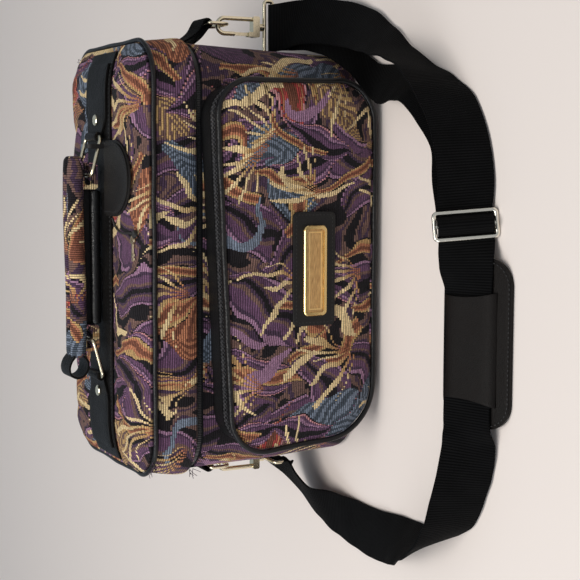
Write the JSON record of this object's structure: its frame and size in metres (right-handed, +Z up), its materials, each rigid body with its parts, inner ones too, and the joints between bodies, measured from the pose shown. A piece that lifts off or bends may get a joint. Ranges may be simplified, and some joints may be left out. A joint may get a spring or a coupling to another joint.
{
  "type": "makeup case",
  "caption": "Soft-sided tapestry makeup case with a zip-around lid, a padded carrying handle, a zipped front pocket and a detachable webbing shoulder strap lying on the table in front.",
  "frame": {"origin": "middle of the trunk's base, on the table", "axes": "+Z up, +X to the right as seen from the front, -Y towards the pocket and the strap"},
  "size_m": [0.4377, 0.3743, 0.2164],
  "materials": {
    "tapestry": "matte ribbed weave",
    "vinyl": "glossy smooth",
    "leather": "satin grain",
    "webbing": "matte herringbone webbing",
    "lining": "matte",
    "board": "matte",
    "zip_tape": "matte",
    "zip_teeth": "satin",
    "brass": "satin pale brass",
    "plate": "satin, bare",
    "dark_metal": "satin black",
    "cord": "matte",
    "key_metal": "satin"
  },
  "bodies": {
    "trunk": {"body_shell": "tapestry", "bottom_board": "board", "body_lining": "lining", "body_zip_tape": "zip_tape", "body_zip_teeth": "zip_teeth", "lid_hinge_strip": "vinyl", "pocket_panel": "tapestry", "pocket_piping": "vinyl", "pocket_gusset_front": "vinyl", "pocket_gusset_rear": "vinyl", "pocket_gusset_base": "tapestry", "pocket_zip_front": "zip_teeth", "pocket_zip_rear": "zip_teeth", "badge_patch": "leather", "badge_plate": "plate", "side_tab_left": "webbing", "side_tab_right": "webbing", "hook_left": "brass", "hook_right": "brass", "hook_swivel_left": "brass", "hook_swivel_right": "brass", "shoulder_strap": "webbing", "strap_slide": "brass", "strap_pad": "leather", "strap_pad_sleeve": "webbing"},
    "lid": {"lid_panel": "tapestry", "lid_band": "tapestry", "lid_piping": "vinyl", "lid_lining": "lining", "lid_zip_tape": "zip_tape", "lid_zip_teeth": "zip_teeth", "lid_hinge_upper": "vinyl", "lid_leather_band": "leather", "handle_tab_left": "leather", "handle_tab_right": "leather", "rivet_left": "brass", "rivet_right": "brass", "tag_strap": "leather"},
    "handle": {"handle_grip": "tapestry", "handle_wrap": "vinyl", "handle_loop": "leather"},
    "ring_left": {"ring_left": "brass"},
    "ring_right": {"ring_right": "brass"},
    "tag": {"tag_front": "leather", "tag_back": "leather", "tag_cord": "cord", "tag_knot": "cord", "tag_key": "key_metal"},
    "lid_slider": {"lid_slider": "dark_metal"},
    "lid_pull": {"lid_pull": "dark_metal"},
    "pocket_slider": {"pocket_slider": "dark_metal"},
    "pocket_pull": {"pocket_pull": "dark_metal"},
    "dee_left": {"dee_left": "brass"},
    "dee_right": {"dee_right": "brass"},
    "gate_left": {"gate_left": "dark_metal"},
    "gate_right": {"gate_right": "dark_metal"}
  },
  "joints": [
    {"name": "lid_hinge", "type": "hinge", "parent": "trunk", "child": "lid", "pos_m": [0, 0.086, 0.1387], "axis": [-1, 0, 0], "range_deg": [0, 105]},
    {"name": "handle_lift", "type": "slide", "parent": "lid", "child": "handle", "axis": [0, 0, 1], "range_m": [0, 0.01]},
    {"name": "ring_left_swing", "type": "hinge", "parent": "lid", "child": "ring_left", "pos_m": [-0.094, 0, 0.19075], "axis": [0, -1, 0], "range_deg": [0, 21]},
    {"name": "ring_right_swing", "type": "hinge", "parent": "lid", "child": "ring_right", "pos_m": [0.094, 0, 0.19075], "axis": [0, 1, 0], "range_deg": [0, 21]},
    {"name": "tag_swing", "type": "hinge", "parent": "lid", "child": "tag", "pos_m": [0.062, -0.0215, 0.19025], "axis": [-1, 0, 0], "range_deg": [0, 40]},
    {"name": "lid_slider_slide", "type": "slide", "parent": "trunk", "child": "lid_slider", "axis": [0, -1, 0], "range_m": [0, 0.095]},
    {"name": "lid_pull_swing", "type": "hinge", "parent": "lid_slider", "child": "lid_pull", "pos_m": [-0.1684, 0.0445, 0.1376], "axis": [0, 0, 1], "range_deg": [0, 80]},
    {"name": "pocket_slider_slide", "type": "slide", "parent": "trunk", "child": "pocket_slider", "axis": [-0.0863, 0, 0.9963], "range_m": [-0.008, 0.011]},
    {"name": "pocket_pull_swing", "type": "hinge", "parent": "pocket_slider", "child": "pocket_pull", "pos_m": [-0.14162, -0.10455, 0.08071], "axis": [0, 1, 0], "range_deg": [0, 80]},
    {"name": "dee_left_swing", "type": "hinge", "parent": "trunk", "child": "dee_left", "pos_m": [-0.175, -0.005, 0.1], "axis": [0, 1, 0], "range_deg": [-4, 4]},
    {"name": "dee_right_swing", "type": "hinge", "parent": "trunk", "child": "dee_right", "pos_m": [0.185, -0.005, 0.1], "axis": [0, 1, 0], "range_deg": [-4, 4]},
    {"name": "gate_left_swing", "type": "hinge", "parent": "trunk", "child": "gate_left", "pos_m": [-0.1688, -0.005, 0.058], "axis": [0, -1, 0], "range_deg": [0, 25], "stiffness_Nm_per_rad": 0.01, "springref_deg": -17.19},
    {"name": "gate_right_swing", "type": "hinge", "parent": "trunk", "child": "gate_right", "pos_m": [0.1788, -0.005, 0.058], "axis": [0, 1, 0], "range_deg": [0, 25], "stiffness_Nm_per_rad": 0.01, "springref_deg": -17.19}
  ],
  "couplings": [
    {"joint": "ring_left_swing", "follows": "handle_lift", "rad_per_m": 35.8},
    {"joint": "ring_right_swing", "follows": "handle_lift", "rad_per_m": 35.8}
  ]
}
